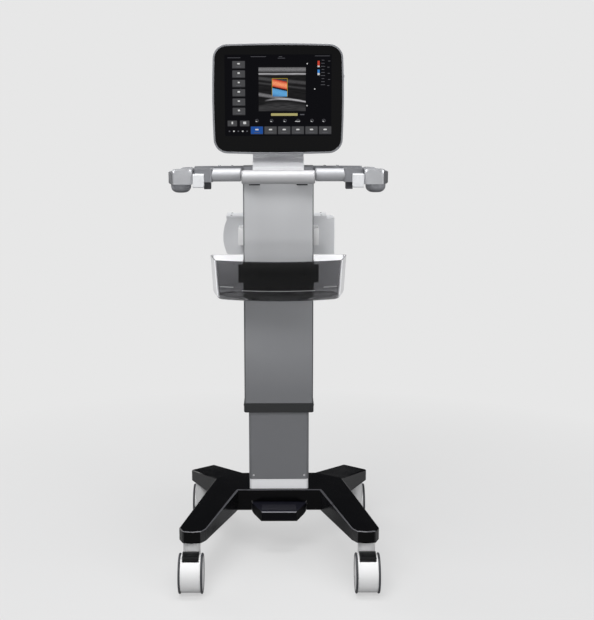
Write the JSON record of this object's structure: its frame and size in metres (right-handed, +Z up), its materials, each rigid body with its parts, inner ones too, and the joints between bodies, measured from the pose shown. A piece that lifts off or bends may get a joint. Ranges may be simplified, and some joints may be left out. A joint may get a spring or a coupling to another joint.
{
  "type": "ultrasound machine",
  "caption": "Tablet ultrasound machine on a height-adjustable trolley with handle, probe holders, tray, rear box and twin-wheel casters",
  "frame": {"origin": "on the floor under the middle of the whole object's footprint", "axes": "+Z up, the screen and the front grip face -Y, +X to the right of someone facing the screen"},
  "size_m": [0.512, 0.563, 1.225],
  "materials": {
    "base_cover": "polished moulding",
    "dark_steel": "powder coat",
    "column_foot": "satin",
    "lower_column": "satin",
    "column_guide": "smooth",
    "gas_spring_cylinder": "gloss",
    "steel_pins": "turned",
    "pedals": "satin",
    "pedal_pad": "matt",
    "upper_column": "satin anodised",
    "column_collar": "satin",
    "grey_casting": "silver paint",
    "front_grip": "silver paint",
    "side_grips": "silver paint",
    "probe_holders": "silver paint",
    "cup_liners": "satin",
    "white_plastic": "satin",
    "black_plastic": "satin",
    "power_supply": "brushed case",
    "tray": "smoked clear",
    "rear_box": "fine texture",
    "rear_box_lid": "fine texture",
    "rear_housing": "fine texture",
    "front_bezel": "silver paint",
    "touch_glass": "polished, black edge print",
    "display_panel": "display",
    "main_board": "solder mask",
    "battery_pack": "satin",
    "power_button": "satin",
    "hoods": "smooth",
    "wheels": "smooth",
    "tyres": "smooth"
  },
  "bodies": {
    "base": {"base_cover": "base_cover", "base_chassis": "dark_steel", "column_foot": "column_foot", "lower_column": "lower_column", "column_guide": "column_guide", "gas_spring_cylinder": "gas_spring_cylinder", "pedal_pin": "steel_pins"},
    "pedal": {"foot_pedal": "pedals", "pedal_pad": "pedal_pad"},
    "release": {"release_pin": "steel_pins"},
    "mast": {"upper_column": "upper_column", "column_collar": "column_collar", "gas_spring_rod": "steel_pins", "handle_casting": "grey_casting", "front_grip": "front_grip", "side_grips": "side_grips", "left_probe_holder": "probe_holders", "right_probe_holder": "probe_holders", "cup_liners": "cup_liners", "cable_hooks": "white_plastic", "grip_stops": "black_plastic", "casting_clips": "black_plastic", "tray": "tray", "tray_bracket": "black_plastic", "tray_knob": "black_plastic", "rear_box": "rear_box", "power_supply": "power_supply", "rear_box_lid": "rear_box_lid", "rear_clamps": "white_plastic", "mains_inlet": "black_plastic", "neck": "grey_casting", "tilt_pin": "steel_pins"},
    "head": {"tilt_bracket": "dark_steel", "cradle": "dark_steel", "rear_housing": "rear_housing", "front_bezel": "front_bezel", "touch_glass": "touch_glass", "display_panel": "display_panel", "main_board": "main_board", "battery_pack": "battery_pack", "probe_socket": "black_plastic"},
    "button": {"power_button": "power_button"},
    "front_left_caster": {"front_left_hood": "hoods", "front_left_pins": "steel_pins"},
    "front_right_caster": {"front_right_hood": "hoods", "front_right_pins": "steel_pins"},
    "rear_left_caster": {"rear_left_hood": "hoods", "rear_left_pins": "steel_pins"},
    "rear_right_caster": {"rear_right_hood": "hoods", "rear_right_pins": "steel_pins"},
    "front_left_wheel": {"front_left_wheels": "wheels", "front_left_tyres": "tyres"},
    "front_right_wheel": {"front_right_wheels": "wheels", "front_right_tyres": "tyres"},
    "rear_left_wheel": {"rear_left_wheels": "wheels", "rear_left_tyres": "tyres"},
    "rear_right_wheel": {"rear_right_wheels": "wheels", "rear_right_tyres": "tyres"},
    "left_brake": {"front_left_brake": "pedals"},
    "right_brake": {"front_right_brake": "pedals"}
  },
  "joints": [
    {"name": "mast_lift", "type": "slide", "parent": "base", "child": "mast", "axis": [0, 0, 1], "range_m": [-0.165, 0.08]},
    {"name": "screen_tilt", "type": "hinge", "parent": "mast", "child": "head", "pos_m": [0, 0.078, 1.06], "axis": [-1, 0, 0], "range_deg": [-5, 40]},
    {"name": "pedal_press", "type": "hinge", "parent": "base", "child": "pedal", "pos_m": [0, 0.05, 0.108], "axis": [1, 0, 0], "range_deg": [0, 10], "stiffness_Nm_per_rad": 20, "springref_deg": -5.73},
    {"name": "valve_push", "type": "slide", "parent": "base", "child": "release", "axis": [0, 0, 1], "range_m": [0, 0.006]},
    {"name": "power_button_press", "type": "slide", "parent": "head", "child": "button", "axis": [-1, 0, 0], "range_m": [0, 0.001], "stiffness_N_per_m": 400, "springref_m": -0.0005},
    {"name": "front_left_swivel", "type": "hinge", "parent": "base", "child": "front_left_caster", "pos_m": [-0.199, -0.203, 0.06], "axis": [0, 0, 1], "continuous": true},
    {"name": "front_right_swivel", "type": "hinge", "parent": "base", "child": "front_right_caster", "pos_m": [0.199, -0.203, 0.06], "axis": [0, 0, 1], "continuous": true},
    {"name": "rear_left_swivel", "type": "hinge", "parent": "base", "child": "rear_left_caster", "pos_m": [-0.199, 0.203, 0.06], "axis": [0, 0, 1], "continuous": true},
    {"name": "rear_right_swivel", "type": "hinge", "parent": "base", "child": "rear_right_caster", "pos_m": [0.199, 0.203, 0.06], "axis": [0, 0, 1], "continuous": true},
    {"name": "front_left_spin", "type": "hinge", "parent": "front_left_caster", "child": "front_left_wheel", "pos_m": [-0.199, -0.236, 0.0455], "axis": [1, 0, 0], "continuous": true},
    {"name": "front_right_spin", "type": "hinge", "parent": "front_right_caster", "child": "front_right_wheel", "pos_m": [0.199, -0.236, 0.0455], "axis": [1, 0, 0], "continuous": true},
    {"name": "rear_left_spin", "type": "hinge", "parent": "rear_left_caster", "child": "rear_left_wheel", "pos_m": [-0.199, 0.236, 0.0455], "axis": [1, 0, 0], "continuous": true},
    {"name": "rear_right_spin", "type": "hinge", "parent": "rear_right_caster", "child": "rear_right_wheel", "pos_m": [0.199, 0.236, 0.0455], "axis": [1, 0, 0], "continuous": true},
    {"name": "left_brake_press", "type": "hinge", "parent": "front_left_caster", "child": "left_brake", "pos_m": [-0.199, -0.233, 0.0835], "axis": [1, 0, 0], "range_deg": [0, 10]},
    {"name": "right_brake_press", "type": "hinge", "parent": "front_right_caster", "child": "right_brake", "pos_m": [0.199, -0.233, 0.0835], "axis": [1, 0, 0], "range_deg": [0, 10]}
  ],
  "couplings": [
    {"joint": "valve_push", "follows": "pedal_press", "m_per_rad": 0.032}
  ]
}
